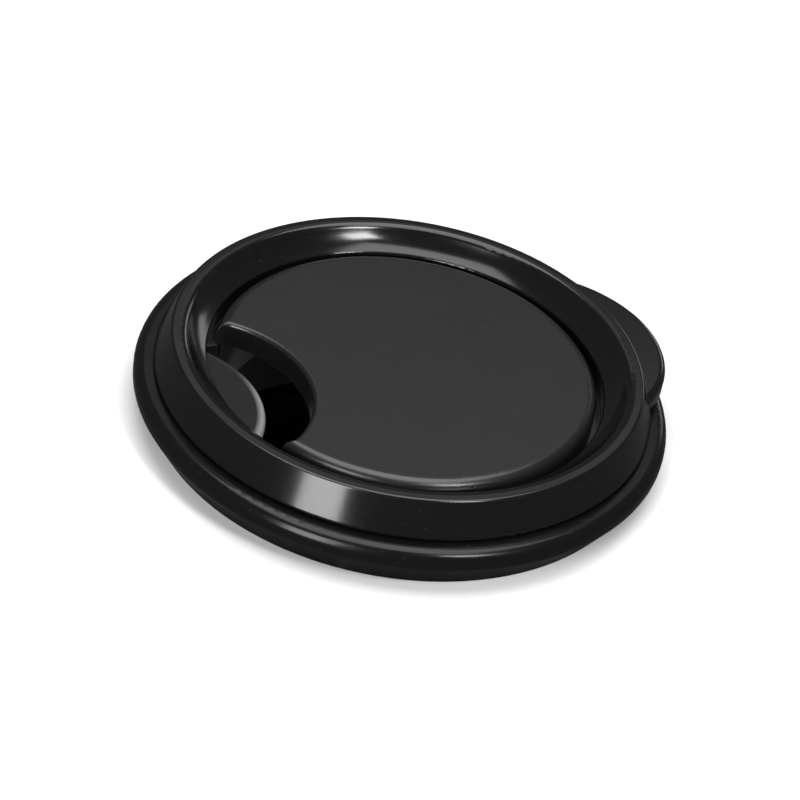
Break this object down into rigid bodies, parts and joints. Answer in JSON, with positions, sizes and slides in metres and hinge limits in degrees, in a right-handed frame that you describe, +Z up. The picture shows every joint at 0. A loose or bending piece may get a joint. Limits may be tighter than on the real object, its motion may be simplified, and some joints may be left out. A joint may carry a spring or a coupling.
{
  "type": "desk grommet",
  "caption": "Round cable grommet for a worktop hole: flanged liner, turning ring with a finger tab, lift-out lid with a cable slot, and a sprung flap in the slot.",
  "frame": {"origin": "on the axis of the worktop hole, at the underside of the flange, which is the worktop surface", "axes": "+Z up, out of the worktop; the cable slot faces -X and the finger tab +X"},
  "size_m": [0.0934, 0.092, 0.0349],
  "materials": {
    "liner_plastic": "moulded gloss black",
    "ring_plastic": "moulded gloss black",
    "lid_plastic": "fine satin texture, charcoal black",
    "flap_plastic": "moulded semi-gloss black",
    "pin_steel": "drawn steel pin",
    "spring_steel": "spring wire"
  },
  "bodies": {
    "liner": {"liner": "liner_plastic"},
    "turning_ring": {"turning_ring": "ring_plastic", "flap_pin": "pin_steel", "flap_spring": "spring_steel"},
    "lid": {"lid": "lid_plastic"},
    "cable_flap": {"cable_flap": "flap_plastic"}
  },
  "joints": [
    {"name": "ring_turn", "type": "hinge", "parent": "liner", "child": "turning_ring", "pos_m": [0, 0, 0], "axis": [0, 0, 1], "continuous": true},
    {"name": "lid_lift", "type": "slide", "parent": "turning_ring", "child": "lid", "axis": [0, 0, 1], "range_m": [0, 0.03]},
    {"name": "flap_swing", "type": "hinge", "parent": "turning_ring", "child": "cable_flap", "pos_m": [-0.0328, 0, 0.0071], "axis": [0, 1, 0], "range_deg": [0, 80], "stiffness_Nm_per_rad": 0.0003, "springref_deg": -85.94, "deforming": ["flap_spring"]}
  ]
}
